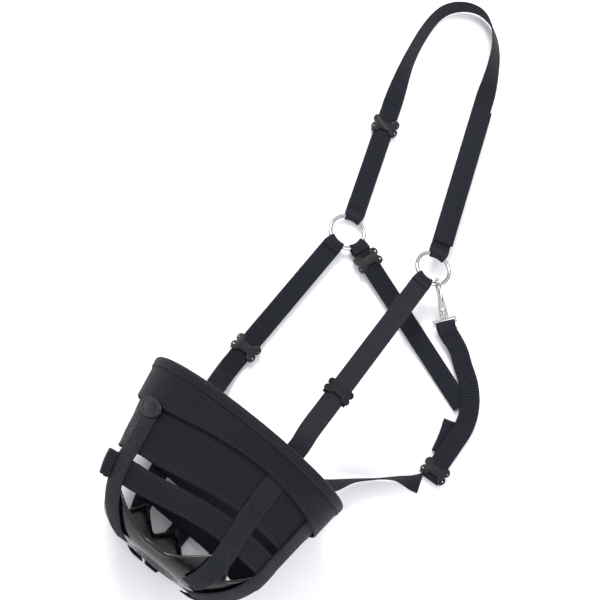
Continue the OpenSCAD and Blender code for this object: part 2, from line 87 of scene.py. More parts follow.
def half_w(s):
    straight = MOUTH - (MOUTH - WAIST) * s / STRAIGHT
    return np.where(s <= STRAIGHT, straight, BASE + (WAIST - BASE) * np.sqrt(1 - ratio(s) ** 2))


def profile_n(s):
    """How much of a step outwards goes across and how much goes down, at depth s."""
    arc = np.arcsin(ratio(s))
    across = np.where(s <= STRAIGHT, STRAIGHT, np.cos(arc) / (WAIST - BASE))
    down = np.where(s <= STRAIGHT, MOUTH - WAIST, np.sin(arc) / (DEPTH - STRAIGHT))
    size = np.hypot(across, down)
    return across / size, down / size


def on_table(x, y, z):
    c, s = math.cos(TIP), math.sin(TIP)
    return np.stack(np.broadcast_arrays(x, y * c - z * s, y * s + z * c + RIM_Z), -1)


def wall(s, t, off):
    """The point of the basket's wall at depth s, t degrees round and off outwards."""
    s, t, off = (np.asarray(v, float) for v in (s, t, off))
    across, down = profile_n(s)
    k = off * across
    c, n = np.cos(np.radians(t)), np.sin(np.radians(t))
    return on_table(LEAN * s / DEPTH - (half_w(s) + k) * c, -s - off * down, (half_w(s) * FLATNESS + k) * n)


def floor_point(a, t, off):
    c, n = np.cos(np.radians(t)), np.sin(np.radians(t))
    return on_table(LEAN - a * c, -DEPTH - np.asarray(off, float), a * FLATNESS * n)


def mm_angle(s, t):
    t = np.radians(t)
    return 180 / math.pi / (half_w(s) * np.hypot(np.sin(t), FLATNESS * np.cos(t)))


def depth_at(arc):
    return STRAIGHT + (DEPTH - STRAIGHT) * np.sin(np.radians(arc))


def strap_angle(k, s):
    return STRAP_T[k] + STRAP_DRIFT[k] * (np.maximum(s, 0) / DEPTH) ** 3


def wrap_gap(a, b):
    d = np.abs(a - b) % 360
    return np.minimum(d, 360 - d)


def swell(t, mid, half):
    return 0.5 + 0.5 * np.cos(np.pi * np.minimum(wrap_gap(t, mid) / half, 1))


def level(t, mid, half, soft):
    return 0.5 - 0.5 * np.cos(np.pi * np.clip((half + soft - wrap_gap(t, mid)) / soft, 0, 1))


def risen(t):
    """1 on the near and far sides, where the bands are pulled up towards the rim."""
    return np.maximum(level(t, 130, 12, 75), level(t, 280, 20, 60))


BAND_RISE = 17.0


def band_depth(s, t):
    return s - BAND_RISE * risen(t) * np.minimum(1, (np.maximum(s, 0) / STRAIGHT) ** 2)


def collar_depth(s, t):
    return s + np.maximum(s, 0) / COLLAR_H * (5 * swell(t, 32, 45) - 10 * swell(t, 108, 60))


# The wall's frame is set down so that the rim binding meets its box in the frame
FOOT = np.array([-35.0, -245.0, 0.2])


def set_down(p):
    return (np.asarray(p, float) + FOOT) * MM


# ---------- small makers ----------


def unit(v):
    v = np.asarray(v, float)
    return v / np.linalg.norm(v, axis=-1, keepdims=True)


def edit(*steps):
    """Runs edit-mode steps on the active piece, all of it selected first."""
    bpy.ops.object.mode_set(mode="EDIT")
    bpy.ops.mesh.select_mode(type="VERT")
    bpy.ops.mesh.select_all(action="SELECT")
    for step in steps:
        step()
    bpy.ops.object.mode_set(mode="OBJECT")


def merge():
    bpy.ops.mesh.remove_doubles(threshold=1e-6)


def cap_ends():
    bpy.ops.mesh.select_all(action="DESELECT")
    bpy.ops.mesh.select_non_manifold()
    bpy.ops.mesh.fill_holes(sides=0)
    bpy.ops.mesh.select_all(action="SELECT")


def face_out():
    bpy.ops.mesh.normals_make_consistent(inside=False)


def activate(piece):
    bpy.ops.object.select_all(action="DESELECT")
    piece.select_set(True)
    bpy.context.view_layer.objects.active = piece


def modify(piece, kind, **settings):
    activate(piece)
    made = piece.modifiers.new(kind.lower(), kind)
    for key, value in settings.items():
        setattr(made, key, value)
    bpy.ops.object.modifier_apply(modifier=made.name)


def grid(name, n, m, place, u, v):
    """A sheet of n by m faces whose points go where place says, with its UV map in millimetres."""
    bpy.ops.object.select_all(action="DESELECT")
    bpy.ops.mesh.primitive_grid_add(x_subdivisions=n, y_subdivisions=m, size=1.0)
    piece = bpy.context.object
    piece.name = piece.data.name = name
    co = np.empty(len(piece.data.vertices) * 3)
    piece.data.vertices.foreach_get("co", co)
    co = co.reshape(-1, 3)
    i = np.rint((co[:, 0] + 0.5) * n).astype(int)
    j = np.rint((co[:, 1] + 0.5) * m).astype(int)
    piece.data.vertices.foreach_set("co", set_down(place(i, j)).ravel())
    layer = piece.data.uv_layers.active
    uv = np.empty(len(layer.data) * 2)
    layer.data.foreach_get("uv", uv)
    uv = uv.reshape(-1, 2)
    made = np.stack([u[np.rint(uv[:, 0] * n).astype(int)], v[np.rint(uv[:, 1] * m).astype(int)]], -1)
    layer.data.foreach_set("uv", made.ravel())
    piece.data.update()
    return piece


def section(wide, thick, across):
    """A strap's section with round edges, as points (across, through), closed on itself."""
    r = thick / 2
    flat = wide / 2 - r
    xs = np.linspace(-flat, flat, across + 1)
    turn = np.radians([45, 0, -45])
    points = [(x, r) for x in xs]
    points += [(flat + r * math.cos(a), r * math.sin(a)) for a in turn]
    points += [(x, -r) for x in xs[::-1]]
    points += [(-flat - r * math.cos(a), r * math.sin(a)) for a in turn[::-1]]
    return np.array(points + points[:1])


RIB = 2.5


def strip(name, place, wide, thick, long, step=0.6, ribs=0.0, across=8, closed=False):
    """A closed strip: place(x, y, z) says where the point x across, y along and z through it goes."""
    sec = section(wide, thick, across)
    n, m = len(sec) - 1, max(4, int(round(long / step)))
    along = np.linspace(0, long, m + 1)
    edge = np.clip((wide / 2 - thick / 2 + 0.4 - np.abs(sec[:, 0])) / 1.2, 0, 1)

    def at(i, j):
        y = along[j % m] if closed else along[j]
        rib = ribs * (np.abs(np.sin(math.pi * y / RIB)) - 0.6) * edge[i]
        return place(sec[i, 0], y, sec[i, 1] + np.sign(sec[i, 1]) * rib)

    girth = np.concatenate([[0], np.cumsum(np.hypot(*np.diff(sec, axis=0).T))])
    piece = grid(name, n, m, at, girth, along)
    edit(merge, *([] if closed else [cap_ends]), face_out)
    return piece


def finish(piece, body, slot, material, *stands_for, angle=50):
    """Hands a finished piece over: its finish, its body and the CAD nodes that it stands for."""
    piece.data.materials.clear()
    piece.data.materials.append(material)
    activate(piece)
    bpy.ops.object.shade_smooth_by_angle(angle=math.radians(angle))
    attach(piece, body)
    if stands_for:
        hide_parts(*stands_for)
    return piece


def copy_of(node, name):
    """A copy of a CAD node with its doubles merged and its flat faces joined."""
    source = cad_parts[node]
    piece = bpy.data.objects.new(name, source.data.copy())
    bpy.context.scene.collection.objects.link(piece)
    activate(piece)
    edit(merge, lambda: bpy.ops.mesh.dissolve_limited(angle_limit=math.radians(0.5)))
    return piece


# ---------- materials ----------


def linear(code):
    """An sRGB hex colour as linear RGBA."""
    parts = [(code >> shift & 255) / 255 for shift in (16, 8, 0)]
    return (*[c / 12.92 if c <= 0.04045 else ((c + 0.055) / 1.055) ** 2.4 for c in parts], 1)


def add(tree, kind, inputs=(), **settings):
    """Adds a node: settings are its own, and inputs are values or sockets to link."""
    made = tree.nodes.new("ShaderNode" + kind)
    for key, value in settings.items():
        setattr(made, key, value)
    for key, value in dict(inputs).items():
        if isinstance(value, bpy.types.NodeSocket):
            tree.links.new(value, made.inputs[key])
        else:
            made.inputs[key].default_value = value
    return made


def material(name, **values):
    """A material whose shader has these uniform values. Underscores stand for spaces."""
    made = bpy.data.materials.new(name)
    made.use_nodes = True
    tree = made.node_tree
    shader = tree.nodes["Principled BSDF"]
    for key, value in values.items():
        shader.inputs[key.replace("_", " ").title().replace("Ior", "IOR")].default_value = value
    return made, tree, shader


def ramp(tree, fac, stops):
    """A colour ramp with hex colours at the given places."""
    made = add(tree, "ValToRGB", {"Fac": fac})
    points = made.color_ramp.elements
    for place, _ in stops[2:]:
        points.new(place)
    for point, (place, code) in zip(points, stops):
        point.position, point.color = place, linear(code)
    return made.outputs["Color"]


def math_node(tree, operation, a, b=0.0):
    return add(tree, "Math", {0: a, 1: b}, operation=operation).outputs[0]


def mix_color(tree, fac, a, b, how="MIX"):
    made = add(tree, "Mix", {0: fac, 6: a, 7: b}, data_type="RGBA", blend_type=how)
    return made.outputs[2]


def bands(pitch):
    """The wave texture's scale for bands this far apart."""
    return 2 * math.pi / 20 / pitch


def cloth_coords(tree):
    """The piece's own UV in millimetres, and how far along the piece it is."""
    uv = add(tree, "UVMap").outputs["UV"]
    return uv, add(tree, "SeparateXYZ", {0: uv}).outputs["Y"]


def ribbing(tree, along, pitch):
    """Rounded ribs across the piece, this many millimetres apart."""
    turn = math_node(tree, "MULTIPLY", along, math.pi / pitch)
    return math_node(tree, "ABSOLUTE", math_node(tree, "SINE", turn))


def bump_into(tree, shader, height, strength, distance):
    made = add(tree, "Bump", {"Height": height, "Strength": strength, "Distance": distance})
    tree.links.new(made.outputs["Normal"], shader.inputs["Normal"])


def vary_roughness(tree, shader, value, low, high, start=0.0, end=1.0):
    made = add(tree, "MapRange", {"Value": value, "From Min": start, "From Max": end, "To Min": low,
                                  "To Max": high})
    tree.links.new(made.outputs[0], shader.inputs["Roughness"])


def dust(tree, shader, tint, where, amount, code):
    """Gives the shader its colour, with a little of another one where it says."""
    mixed = mix_color(tree, math_node(tree, "MULTIPLY", where, amount), tint, linear(code))
    tree.links.new(mixed, shader.inputs["Base Color"])


def space(tree, scale, detail=3.0, roughness=0.55):
    """Noise in the object's own space, with features about 1/scale metres across."""
    coords = add(tree, "TexCoord").outputs["Object"]
    return add(tree, "TexNoise", {"Vector": coords, "Scale": scale, "Detail": detail,
                                  "Roughness": roughness}).outputs["Fac"]


def make_webbing():
    """Solution-dyed nylon harness webbing. Thick weft yarns stand up as ribs across it, and the round
    filaments' cool grey sheen is painted on every crest, with painted shade in the valleys. Lint and handling
    grey it a little in patches."""
    made, tree, shader = material("woven_nylon_webbing", roughness=0.5, ior=1.53, sheen_weight=0.02,
                                  sheen_roughness=0.35, specular_ior_level=0.16)
    uv, along = cloth_coords(tree)
    crest = ribbing(tree, along, RIB)
    # Warp yarns are about 0.5 mm apart and are drawn 1.25 mm apart, so that they show
    warp = add(tree, "TexWave", {"Vector": uv, "Scale": bands(1.25), "Distortion": 0.6, "Detail": 1.0},
               bands_direction="X").outputs["Fac"]
    worn = space(tree, 38.0, 4.0)
    # The ramp paints a highlight on each rib's crest and painted shade in the valleys between ribs
    tint = ramp(tree, crest, [(0.0, 0x010102), (0.45, 0x050609), (1.0, 0x2B2D38)])
    tint = mix_color(tree, math_node(tree, "MULTIPLY", warp, 0.4), tint, linear(0x07080D))
    dust(tree, shader, tint, worn, 0.08, 0x30313C)
    vary_roughness(tree, shader, worn, 0.42, 0.66)
    height = math_node(tree, "ADD", crest, math_node(tree, "MULTIPLY", warp, 0.45))
    bump_into(tree, shader, height, 0.9, 0.0007)
    return made


def make_cloth():
    """Coated nylon pack cloth in plain weave. It is smoother than the webbing, with a fine basket
    texture, a soft cool sheen painted on each thread crossing with painted shade between them, and long
    shallow creases."""
    made, tree, shader = material("coated_pack_cloth", roughness=0.58, ior=1.5, sheen_weight=0.02,
                                  sheen_roughness=0.4, specular_ior_level=0.14)
    uv = cloth_coords(tree)[0]
    # Threads are about 0.4 mm apart and are drawn 1.9 mm apart, so that they show
    one = add(tree, "TexWave", {"Vector": uv, "Scale": bands(1.9), "Distortion": 0.4}, bands_direction="X")
    two = add(tree, "TexWave", {"Vector": uv, "Scale": bands(1.9), "Distortion": 0.4}, bands_direction="Y")
    weave = math_node(tree, "MULTIPLY", one.outputs["Fac"], two.outputs["Fac"])
    cloud = space(tree, 22.0, 5.0)
    # Thread crossings are painted lighter as a highlight, and the ground between them darker as painted shade
    tint = ramp(tree, weave, [(0.0, 0x010203), (0.35, 0x06070B), (1.0, 0x2E303E)])
    dust(tree, shader, tint, cloud, 0.08, 0x2C2E3A)
    vary_roughness(tree, shader, cloud, 0.45, 0.7)
    creases = add(tree, "TexNoise", {"Vector": uv, "Scale": 0.06, "Detail": 3.0,
                                     "Distortion": 0.8}).outputs["Fac"]
    height = math_node(tree, "ADD", weave, math_node(tree, "MULTIPLY", creases, 3.0))
    bump_into(tree, shader, height, 0.8, 0.0006)
    return made


def make_lining():
    """Brushed polyester tricot over foam. Its nap scatters light, so it is matt and a shade warmer."""
    made, tree, shader = material("brushed_tricot_lining", roughness=0.92, ior=1.45, sheen_weight=0.04,
                                  sheen_roughness=0.6, specular_ior_level=0.1)
    nap = space(tree, 900.0, 2.0)
    cloud = space(tree, 30.0, 4.0)
    tint = ramp(tree, nap, [(0.3, 0x08080B), (0.75, 0x19191F)])
    dust(tree, shader, tint, cloud, 0.15, 0x2A2A31)
    bump_into(tree, shader, nap, 0.6, 0.0004)
    return made


def make_tape():
    """Grosgrain binding tape. Fine ribs run across it, each with a dull line of light painted on its top."""
    made, tree, shader = material("grosgrain_tape", roughness=0.56, ior=1.53, sheen_weight=0.02,
                                  sheen_roughness=0.4, specular_ior_level=0.14)
    along = cloth_coords(tree)[1]
    # Grosgrain ribs are about 0.8 mm apart and are drawn 1.6 mm apart, so that they show
    rib = ribbing(tree, along, 1.6)
    worn = space(tree, 45.0, 4.0)
    # Rib tops are painted lighter as a highlight, and the dips between them darker as painted shade
    tint = ramp(tree, rib, [(0.0, 0x040509), (1.0, 0x14151D)])
    dust(tree, shader, tint, worn, 0.08, 0x2A2B35)
    bump_into(tree, shader, rib, 0.6, 0.0004)
    return made


def make_hook_and_loop():
    """Nylon hook-and-loop tape: a felt of tiny loops, or rows of stiff hooks, both dull and speckled."""
    made, tree, shader = material("hook_and_loop_tape", roughness=0.85, ior=1.53, sheen_weight=0.1,
                                  sheen_roughness=0.5, specular_ior_level=0.2)
    coords = add(tree, "TexCoord").outputs["Object"]
    # Hooks stand about 1 mm apart
    cells = add(tree, "TexVoronoi", {"Vector": coords, "Scale": 1000.0}).outputs["Distance"]
    tint = ramp(tree, cells, [(0.1, 0x26262D), (0.6, 0x08080B)])
    tree.links.new(tint, shader.inputs["Base Color"])
    bump_into(tree, shader, cells, 0.9, -0.0005)
    return made


def make_base_rubber():
    """Injection-moulded black rubber. The polished mould leaves it glossy, with slow flow waves and a
    light film of scuffs where it rubs on the ground."""
    made, tree, shader = material("moulded_black_rubber", roughness=0.22, ior=1.52, specular_ior_level=0.4,
                                  coat_weight=0.12, coat_roughness=0.12)
    flow = space(tree, 28.0, 2.0)
    scuff = space(tree, 240.0, 6.0, 0.7)
    marks = add(tree, "MapRange", {"Value": scuff, "From Min": 0.55, "From Max": 0.75}).outputs[0]
    tint = mix_color(tree, math_node(tree, "MULTIPLY", marks, 0.4), linear(0x040407), linear(0x0E0E13))
    tree.links.new(tint, shader.inputs["Base Color"])
    vary_roughness(tree, shader, scuff, 0.16, 0.42, 0.4, 0.8)
    height = math_node(tree, "ADD", flow, math_node(tree, "MULTIPLY", scuff, 0.05))
    bump_into(tree, shader, height, 0.35, 0.0012)
    return made


def make_patch_rubber():
    """Soft moulded vinyl badge. It is satin, a little greyer than the cloth, with a fine sprayed grain."""
    made, tree, shader = material("moulded_vinyl_patch", roughness=0.4, ior=1.53, specular_ior_level=0.3)
    grain = space(tree, 1400.0, 3.0)
    cloud = space(tree, 120.0, 4.0)
    tint = mix_color(tree, cloud, linear(0x08080C), linear(0x15151B))
    tree.links.new(tint, shader.inputs["Base Color"])
    vary_roughness(tree, shader, cloud, 0.3, 0.5)
    bump_into(tree, shader, grain, 0.25, 0.0002)
    return made


def make_slide_plastic():
    """Acetal slide, moulded in a fine-blasted tool. It is dark grey with a soft satin shine, and the
    webbing polishes it in streaks."""
    made, tree, shader = material("moulded_acetal", roughness=0.36, ior=1.48, specular_ior_level=0.32)
    grain = space(tree, 1700.0, 2.0)
    rub = space(tree, 90.0, 5.0, 0.6)
    tint = mix_color(tree, rub, linear(0x050508), linear(0x0F0F14))
    tree.links.new(tint, shader.inputs["Base Color"])
    vary_roughness(tree, shader, rub, 0.26, 0.5)
    bump_into(tree, shader, grain, 0.2, 0.0002)
    return made


def make_nickel(name, base, low, high, waves):
    """Bright nickel plate. It mirrors the room with a faint yellow-grey cast. Handling leaves dull
    patches and hairlines, and a cast part keeps some of its uneven skin."""
    made, tree, shader = material(name, metallic=1.0, roughness=low)
    film = space(tree, 130.0, 5.0, 0.65)
    coords = add(tree, "TexCoord").outputs["Object"]
    stretched = add(tree, "Mapping", {"Vector": coords, "Scale": (1.0, 9.0, 3.0),
                                      "Rotation": (0.3, 0.5, 0.9)}).outputs[0]
    hair = add(tree, "TexNoise", {"Vector": stretched, "Scale": 420.0, "Detail": 3.0}).outputs["Fac"]
    tint = mix_color(tree, film, linear(base), linear(0xA9A8A4))
    tree.links.new(tint, shader.inputs["Base Color"])
    both = math_node(tree, "MULTIPLY", film, hair)
    vary_roughness(tree, shader, both, low, high, 0.1, 0.5)
    bump_into(tree, shader, math_node(tree, "ADD", math_node(tree, "MULTIPLY", hair, 0.1), film), 0.15, waves)
    return made


def make_thread():
    """Bonded polyester thread. Each twisted ply carries a small bright line on its crown, a painted
    highlight.
    """
    made, tree, shader = material("bonded_thread", roughness=0.38, ior=1.53, specular_ior_level=0.25)
    coords = add(tree, "TexCoord").outputs["Object"]
    ply = add(tree, "TexWave", {"Vector": coords, "Scale": bands(0.0009), "Distortion": 1.0},
              bands_direction="DIAGONAL").outputs["Fac"]
    # Ply crowns are painted lighter as a highlight
    tint = ramp(tree, ply, [(0.0, 0x0A0B10), (1.0, 0x2A2B35)])
    tree.links.new(tint, shader.inputs["Base Color"])
    bump_into(tree, shader, ply, 0.4, 0.0002)
    return made


WEBBING = make_webbing()
CLOTH = make_cloth()
LINING = make_lining()
TAPE = make_tape()
HOOK_LOOP = make_hook_and_loop()
RUBBER = make_base_rubber()
PATCH = make_patch_rubber()
ACETAL = make_slide_plastic()
RING_NICKEL = make_nickel("bright_nickel_plate", 0xC6C4C0, 0.07, 0.22, 0.00004)
CAST_NICKEL = make_nickel("plated_zinc_casting", 0xCAC8C4, 0.12, 0.3, 0.00012)
THREAD = make_thread()

# ---------- stitches ----------

STITCH, STITCH_PITCH = 2.5, 3.3
THREAD_HALF_W, THREAD_HALF_H = 0.42, 0.34
sewn = {}


def sew(place, points, z, body="halter"):
    """Notes a run of stitches along points (x, y) of a strip, on its face at height z."""
    points = np.asarray(points, float)
    run = np.concatenate([[0], np.cumsum(np.hypot(*np.diff(points, axis=0).T))])
    count = max(1, int(run[-1] / STITCH_PITCH))
    mid = (np.arange(count) + 0.5) * run[-1] / count
    x, y = np.interp(mid, run, points[:, 0]), np.interp(mid, run, points[:, 1])
    ahead = np.minimum(mid + 0.5, run[-1])
    behind = ahead - 1.0
    a = place(np.interp(behind, run, points[:, 0]), np.interp(behind, run, points[:, 1]), z + 0 * mid)
    b = place(np.interp(ahead, run, points[:, 0]), np.interp(ahead, run, points[:, 1]), z + 0 * mid)
    here, above = place(x, y, z + 0 * mid), place(x, y, z + 1 + 0 * mid)
    sewn.setdefault(body, []).extend(zip(here, unit(b - a), unit(above - here)))


def box_of(x, y0, y1):
    return [(-x, y0), (x, y0), (x, y1), (-x, y1), (-x, y0)]


def cross_box(x, y0, y1):
    return box_of(x, y0, y1) + [(x, y1)], [(x, y0), (-x, y1)]


def make_stitches():
    """One stitch is modelled as a short fat thread, and copied to every place noted."""
    bpy.ops.object.select_all(action="DESELECT")
    bpy.ops.mesh.primitive_uv_sphere_add(segments=6, ring_count=4, radius=1.0)
    first = bpy.context.object
    first.data.transform(Matrix.Diagonal((THREAD_HALF_W * MM, STITCH / 2 * MM, THREAD_HALF_H * MM, 1)))
    for body, places in sewn.items():
        whole = bpy.data.objects.new("stitching_" + body, bpy.data.meshes.new("stitching_" + body))
        bpy.context.scene.collection.objects.link(whole)
        copies = []
        for p, d, n in places:
            one = bpy.data.objects.new("stitch", first.data.copy())
            side = np.cross(d, n)
            turn = Matrix((side, d, np.cross(side, d))).transposed().to_4x4()
            one.matrix_world = Matrix.Translation(Vector(set_down(p))) @ turn
            bpy.context.scene.collection.objects.link(one)
            copies.append(one)
        activate(whole)
        for one in copies:
            one.select_set(True)
        bpy.ops.object.join()
        finish(whole, body, "webbing", THREAD)
    bpy.data.objects.remove(first)


# ---------- the basket ----------


def hash_wave(x, y, seed, size):
    """A slow unevenness of hand-sewn cloth, the same each time."""
    a = np.sin(y / 37.0 + seed * 1.7) * np.cos(x / 19.0 + seed)
    b = np.sin(y / 17.3 + x / 11.0 + seed * 2.3)
    return size * (0.6 * a + 0.4 * b)


def between_straps(t, s):
    """0 under an upright strap and 1 midway between two."""
    near = np.min([wrap_gap(t, strap_angle(k, s)) for k in range(6)], axis=0)
    return np.clip((near - 8) / 16, 0, 1) ** 0.7


GIRTH = 680.0


def round_wall(s0, off, depth=lambda s, t: s):
    """The place function of a hoop: x runs down the wall from s0, y round it, z outwards."""
    def place(x, y, z):
        t = 360.0 * y / GIRTH
        return wall(depth(s0 + x, t), t, off + z)
    return place


def make_bands():
    upper_s = (3 + STRAIGHT) / 2
    def sagging(x, y, z):
        s = upper_s + x
        t = 360.0 * y / GIRTH
        free = np.clip((s - 52) / 30, 0, 1) * between_straps(t, s)
        dip = free * (2.2 + 1.1 * np.sin(y / 21.0) + 0.5 * np.sin(x / 6.0 + y / 9.0))
        return wall(band_depth(s, t), t, BAND_T / 2 + z - dip)

    piece = strip("upper_band_cloth", sagging, STRAIGHT - 3, BAND_T, GIRTH, 2.0, across=36, closed=True)
    finish(piece, "halter", "band_cloth", CLOTH, "upper_band")
    edge = (STRAIGHT - 3) / 2 - 3.2
    for x in (edge, edge - 3.4):
        sew(sagging, [(x, y) for y in np.linspace(0, GIRTH, 400)], BAND_T / 2)

    mid = LOWER_TOP + LOWER_H / 2

    def lower(x, y, z):
        s = mid + x
        t = 360.0 * y / GIRTH
        dip = between_straps(t, s) * (0.9 + 0.6 * np.sin(y / 18.0 + 1.0)) * (1 - 0.3 * x / 14)
        return wall(band_depth(s, t), t, BAND_T / 2 + z - dip)

    piece = strip("lower_band_cloth", lower, LOWER_H, BAND_T, GIRTH, 2.0, across=14, closed=True)
    finish(piece, "halter", "band_cloth", CLOTH, "lower_band")
    for x in (LOWER_H / 2 - 2.8, -LOWER_H / 2 + 2.8):
        sew(lower, [(x, y) for y in np.linspace(0, GIRTH, 400)], BAND_T / 2)


def upright_run(k):
    """The place function and length of an upright strap, which lies on the wall."""
    off, last = STRAP_OFF + WEB_T / 2, STRAP_END[k]
    s = np.concatenate([np.linspace(3, STRAIGHT, 60), depth_at(np.linspace(0.5, last, 80))])
    centre = wall(s, strap_angle(k, s), off)
    run = np.concatenate([[0], np.cumsum(np.linalg.norm(np.diff(centre, axis=0), axis=1))])

    def place(x, y, z):
        depth = np.interp(y, run, s)
        t = strap_angle(k, depth)
        return wall(depth, t + x * mm_angle(np.minimum(depth, DEPTH * 0.93), t), off + z)

    return place, run, s


def make_uprights():
    for k, name in enumerate(STRAP_NAMES):
        place, run, s = upright_run(k)
        at = lambda depth: np.interp(depth, s, run)
        piece = strip(name + "_webbing", place, WEB_W, WEB_T, run[-1], 0.62, ribs=0.5)
        finish(piece, "halter", "webbing", WEBBING, name)
        z = WEB_T / 2 + 0.1
        for y0, y1 in ((at(84), at(102)), (at(118), at(140))):
            for path in cross_box(9.2, y0, y1):
                sew(place, path, z)
        for path in cross_box(8.6, run[-1] - 19, run[-1] - 3):
            sew(place, path, z)


FRAMES = 14


def puff(piece, free, pressure, cap):
    """Cloth simulation swells a padded piece between its seams. Only its free points move, up to cap."""
    activate(piece)
    before = np.empty(len(piece.data.vertices) * 3)
    piece.data.vertices.foreach_get("co", before)
    pins = piece.vertex_groups.new(name="seams")
    pins.add([int(v) for v in np.nonzero(~free)[0]], 1.0, "REPLACE")
    made = piece.modifiers.new("cloth", "CLOTH")
    made.settings.vertex_group_mass = pins.name
    made.settings.use_pressure = True
    made.settings.uniform_pressure_force = pressure
    made.settings.effector_weights.gravity = 0
    made.settings.quality = 6
    made.collision_settings.use_collision = False
    made.collision_settings.use_self_collision = False
    made.point_cache.frame_start, made.point_cache.frame_end = 1, FRAMES
    for f in range(1, FRAMES + 1):
        bpy.context.scene.frame_set(f)
    bpy.ops.object.modifier_apply(modifier=made.name)
    bpy.context.scene.frame_set(1)
    after = np.empty_like(before)
    piece.data.vertices.foreach_get("co", after)
    move = (after - before).reshape(-1, 3)
    size = np.linalg.norm(move, axis=1, keepdims=True)
    move *= np.minimum(1, cap * MM / np.maximum(size, 1e-9))
    piece.data.vertices.foreach_set("co", (before.reshape(-1, 3) + move).ravel())
    piece.vertex_groups.clear()


def across_of(piece, wide, thick, across):
    """Where each point of a strip lies in its section: across and through, read from its UV map."""
    sec = section(wide, thick, across)
    girth = np.concatenate([[0], np.cumsum(np.hypot(*np.diff(sec, axis=0).T))])
    layer = piece.data.uv_layers.active
    uv = np.empty(len(layer.data) * 2)
    layer.data.foreach_get("uv", uv)
    owner = np.empty(len(layer.data), int)
    piece.data.loops.foreach_get("vertex_index", owner)
    u = np.zeros(len(piece.data.vertices))
    u[owner] = uv[0::2]
    return np.interp(u, girth, sec[:, 0]), np.interp(u, girth, sec[:, 1])


def padded_hoop(name, s0, s1, off, thick, face, seams, cap, pressure, depth=lambda s, t: s):
    """A padded hoop that swells on one face between its seams."""
    mid, wide = (s0 + s1) / 2, s1 - s0
    place = round_wall(mid, off + thick / 2, depth)
    piece = strip(name, place, wide, thick, GIRTH, 4.0, across=14, closed=True)
    x, z = across_of(piece, wide, thick, 14)
    seam = np.min([np.abs(x - at) for at in seams], axis=0) < 1.9
    puff(piece, (z * face > 0) & ~seam & (np.abs(x) < wide / 2 - 3.0), pressure, cap)
    modify(piece, "SUBSURF", levels=1, render_levels=1)
    return piece, place


def make_collar():
    seams = (-20.0, 0.0, 20.0)
    piece, place = padded_hoop("collar_cloth", 2, COLLAR_H, COLLAR_OFF, COLLAR_T, 1, seams, 1.6, 6.0,
                               collar_depth)
    finish(piece, "halter", "band_cloth", CLOTH, "collar")
    for x in (19.4, 16.2):
        sew(place, [(x, y) for y in np.linspace(0, GIRTH, 400)], COLLAR_T / 2)
    piece, place = padded_hoop("collar_lining_pad", 3, COLLAR_H, -GAP - LINING_T, LINING_T, -1,
                               (-20.0, -7.0, 7.0, 20.0), 1.3, 6.0)
    finish(piece, "halter", "lining_cloth", LINING, "collar_lining")


def make_binding():
    """Tape folded over the rim: down the outside, over the top, and a little way down the inside."""
    inner, outer = -GAP - LINING_T - 0.1 - 0.6, BINDING_OFF + BINDING_T / 2
    path = [(outer - 0.4, 10.0), (outer - 0.25, 6.0), (outer, 2.0), (outer - 0.2, 0.0), (outer - 1.0, -1.5),
            (outer - 3.2, -2.1), ((outer + inner) / 2, -2.2), (inner + 2.0, -2.1), (inner + 0.7, -1.4),
            (inner + 0.6, 0.2), (inner + 0.6, 1.6)]
    path = np.array(path)
    run = np.concatenate([[0], np.cumsum(np.hypot(*np.diff(path, axis=0).T))])
    fine = np.linspace(0, run[-1], 60)
    off, deep = (np.interp(fine, run, path[:, c]) for c in (0, 1))
    kernel = np.ones(5) / 5
    for _ in range(2):
        off[2:-2], deep[2:-2] = np.convolve(off, kernel, "valid"), np.convolve(deep, kernel, "valid")
    n_off, n_deep = -np.gradient(deep, fine), np.gradient(off, fine)

    def place(x, y, z):
        f = x + run[-1] / 2
        t = 360.0 * y / GIRTH
        o = np.interp(f, fine, off) + z * np.interp(f, fine, n_off)
        d = np.interp(f, fine, deep) + z * np.interp(f, fine, n_deep)
        return wall(d, t, o + hash_wave(x, y, 1.0, 0.12))

    def turned(x, y, z):
        return place(x, y, -z)

    right = place if np.interp(0.5, fine, n_off) > 0 else turned
    piece = strip("rim_binding_tape", right, run[-1], 1.1, GIRTH, 1.6, across=26, closed=True)
    finish(piece, "halter", "binding_tape", TAPE, "rim_binding")
    sew(right, [(-run[-1] / 2 + 2.0, y) for y in np.linspace(0, GIRTH, 400)], 0.6)


# Angle round the base's rounding at which its edge lies: between straps, and how much less under one
LIP_LOW, LIP_LIFT, SIDE_LIFT = 60.0, 32.0, 13.0
ARM_REACH = 34.0


def arm(t):
    """1 where the base reaches up under a strap, and 0 between two."""
    best = 0
    for k in range(6):
        reach = ARM_REACH * (1 + 0.35 * np.abs(np.cos(np.radians(t))))
        x = np.minimum(1, wrap_gap(t, STRAP_T[k] + STRAP_DRIFT[k] * 0.6) / reach)
        best = np.maximum(best, (1 - x) ** 1.6)
    return best


